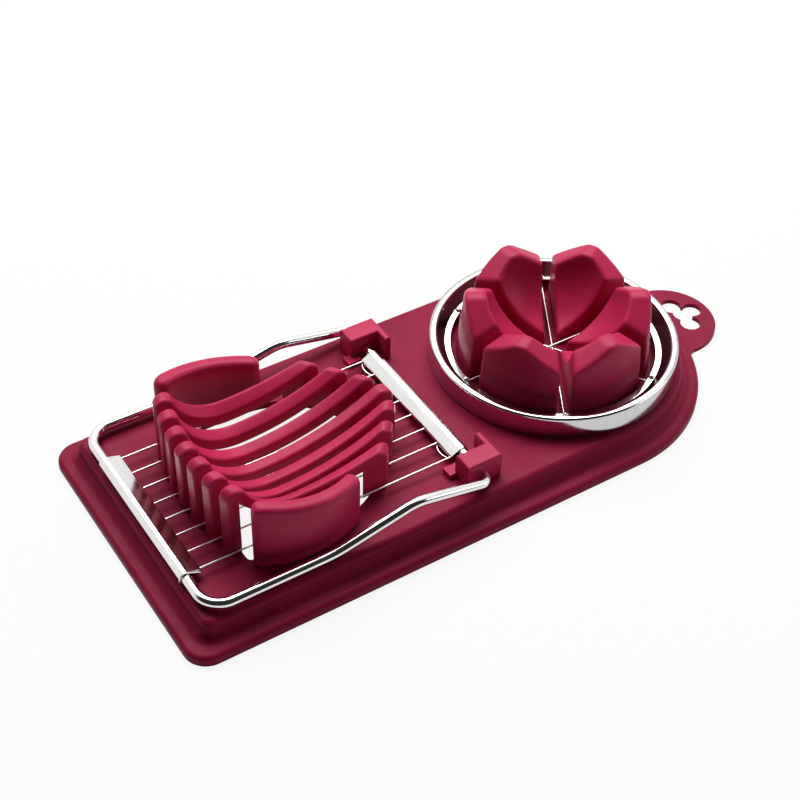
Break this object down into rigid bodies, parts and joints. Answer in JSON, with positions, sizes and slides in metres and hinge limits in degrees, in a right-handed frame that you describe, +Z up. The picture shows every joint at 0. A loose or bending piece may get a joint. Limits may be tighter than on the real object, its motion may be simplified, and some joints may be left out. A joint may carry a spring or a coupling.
{
  "type": "egg slicer",
  "caption": "Kitchen egg slicer: hinged wire bow over a ribbed cradle, and a lift-off wire ring over a petal-shaped wedger, on a moulded tray with a hang tab.",
  "frame": {"origin": "centre of the footprint, on the table", "axes": "+X along the length to the hang tab, +Y to the rear, +Z up"},
  "size_m": [0.198, 0.087, 0.0306],
  "materials": {
    "burgundy_plastic": "satin moulded plastic",
    "polished_steel": "polished stainless steel",
    "steel_wire": "drawn stainless wire"
  },
  "bodies": {
    "base": {"base_tray": "burgundy_plastic", "hang_tab": "burgundy_plastic", "hinge_lug_front": "burgundy_plastic", "hinge_lug_rear": "burgundy_plastic", "cradle_rib_1": "burgundy_plastic", "cradle_rib_2": "burgundy_plastic", "cradle_rib_3": "burgundy_plastic", "cradle_rib_4": "burgundy_plastic", "cradle_rib_5": "burgundy_plastic", "cradle_rib_6": "burgundy_plastic", "cradle_rib_7": "burgundy_plastic", "egg_guard_front": "burgundy_plastic", "egg_guard_rear": "burgundy_plastic", "wedge_petal_1": "burgundy_plastic", "wedge_petal_2": "burgundy_plastic", "wedge_petal_3": "burgundy_plastic", "wedge_petal_4": "burgundy_plastic", "wedge_petal_5": "burgundy_plastic", "wedge_petal_6": "burgundy_plastic"},
    "slicer": {"slicer_bow": "polished_steel", "bow_wire_strip": "polished_steel", "hinge_wire_strip": "polished_steel", "slicing_wire_1": "steel_wire", "slicing_wire_2": "steel_wire", "slicing_wire_3": "steel_wire", "slicing_wire_4": "steel_wire", "slicing_wire_5": "steel_wire", "slicing_wire_6": "steel_wire", "slicing_wire_7": "steel_wire", "slicing_wire_8": "steel_wire", "wire_return_loops": "steel_wire", "wire_end_tie": "steel_wire"},
    "wedger": {"wedger_ring": "polished_steel", "wedger_wire_1": "steel_wire", "wedger_wire_2": "steel_wire", "wedger_wire_3": "steel_wire", "wedger_wire_ferrules": "steel_wire"}
  },
  "joints": [
    {"name": "slicer_hinge", "type": "hinge", "parent": "base", "child": "slicer", "pos_m": [-0.0076, 0, 0.0115], "axis": [0, 1, 0], "range_deg": [0, 100]},
    {"name": "wedger_lift", "type": "slide", "parent": "base", "child": "wedger", "axis": [0, 0, 1], "range_m": [0, 0.045]}
  ]
}
